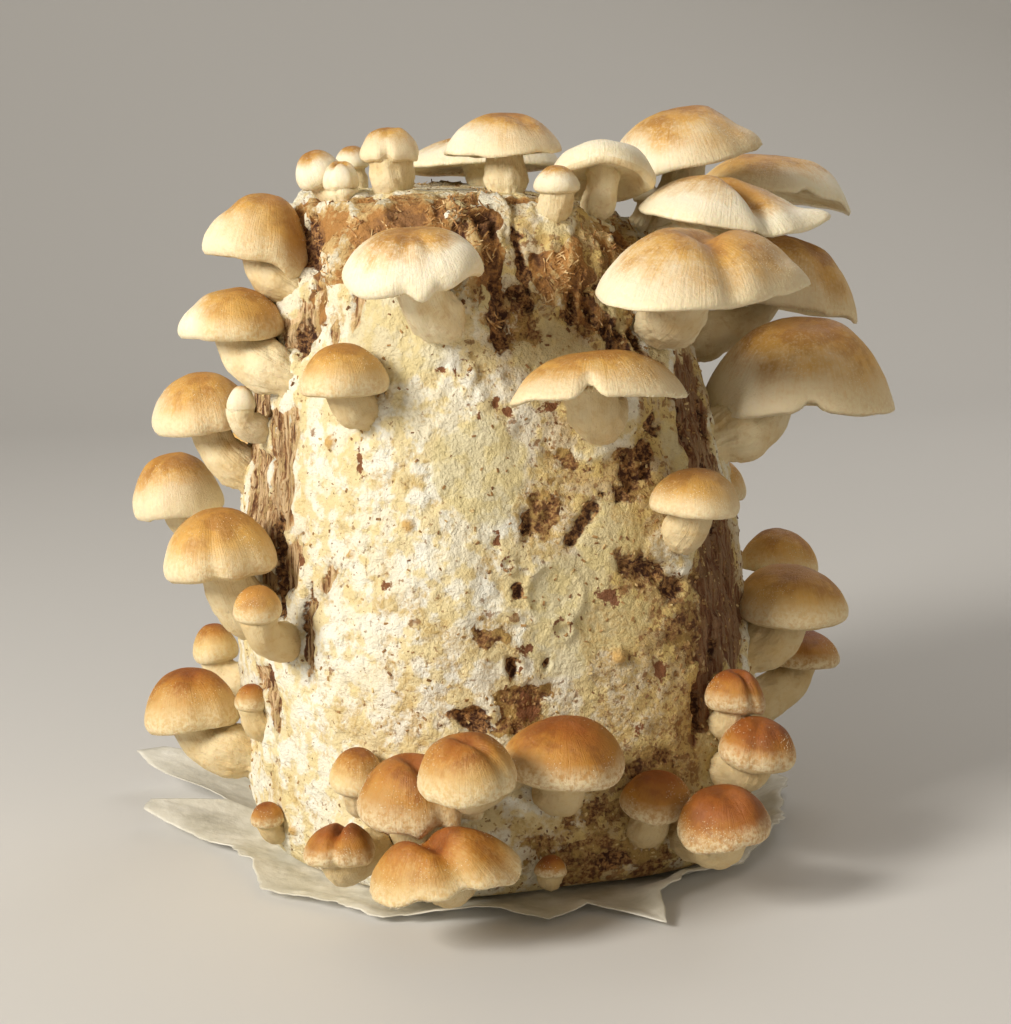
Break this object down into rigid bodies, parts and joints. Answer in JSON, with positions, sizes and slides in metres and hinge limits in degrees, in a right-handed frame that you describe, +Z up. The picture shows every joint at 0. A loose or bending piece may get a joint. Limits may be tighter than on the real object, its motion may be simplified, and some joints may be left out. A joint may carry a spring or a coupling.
{
  "type": "shiitake log",
  "caption": "Cylindrical sawdust log bound by white mycelium, with shiitake mushrooms growing from its sides and top, standing on the torn foot of its clear film bag.",
  "frame": {"origin": "centre of the flat underside of the film base, below the middle of the log's foot", "axes": "+Z up along the log; -Y towards the side the picture shows; +X to that view's right"},
  "size_m": [0.2323, 0.2249, 0.2099],
  "materials": {
    "log": "matte, rough, felted with mycelium",
    "film_base": "translucent, creased",
    "pale_cap": "matte, cream to tan",
    "brown_cap": "satin, orange brown"
  },
  "bodies": {
    "root": {"log": "log", "film_base": "film_base", "mushroom_shelf_top_back": "pale_cap", "mushroom_shelf_top": "pale_cap", "mushroom_shelf_front": "pale_cap", "mushroom_shelf_back": "pale_cap", "mushroom_shelf_low": "pale_cap", "mushroom_front_draped": "pale_cap", "mushroom_front_left": "pale_cap", "mushroom_front_broad": "pale_cap", "mushroom_front_right": "pale_cap", "mushroom_left_1": "pale_cap", "mushroom_left_2": "pale_cap", "mushroom_left_3": "pale_cap", "mushroom_left_pin": "pale_cap", "mushroom_left_4": "pale_cap", "mushroom_left_5": "pale_cap", "mushroom_left_6": "pale_cap", "mushroom_left_7": "brown_cap", "mushroom_left_8": "brown_cap", "mushroom_left_9": "brown_cap", "mushroom_left_foot": "brown_cap", "mushroom_low_1": "brown_cap", "mushroom_low_2": "brown_cap", "mushroom_low_3": "brown_cap", "mushroom_low_4": "brown_cap", "mushroom_low_5": "brown_cap", "mushroom_low_6": "brown_cap", "mushroom_low_7": "brown_cap", "mushroom_low_8": "brown_cap", "mushroom_low_bud": "brown_cap", "mushroom_right_1": "brown_cap", "mushroom_right_2": "brown_cap", "mushroom_right_3": "pale_cap", "mushroom_right_4": "pale_cap", "mushroom_right_5": "brown_cap", "mushroom_back_1": "pale_cap", "mushroom_back_2": "pale_cap", "mushroom_back_3": "pale_cap", "mushroom_back_4": "pale_cap", "mushroom_back_5": "pale_cap", "mushroom_back_6": "pale_cap", "mushroom_back_7": "brown_cap", "mushroom_back_8": "pale_cap", "mushroom_back_9": "brown_cap", "mushroom_back_10": "brown_cap", "mushroom_back_11": "brown_cap", "mushroom_back_12": "pale_cap", "mushroom_top_1": "pale_cap", "mushroom_top_pin": "pale_cap", "mushroom_top_2": "pale_cap", "mushroom_top_3": "pale_cap", "mushroom_top_wide": "pale_cap", "mushroom_top_4": "pale_cap", "mushroom_top_curled": "pale_cap", "mushroom_top_small": "pale_cap", "mushroom_top_5": "pale_cap", "mushroom_top_bud": "pale_cap"}
  },
  "joints": []
}
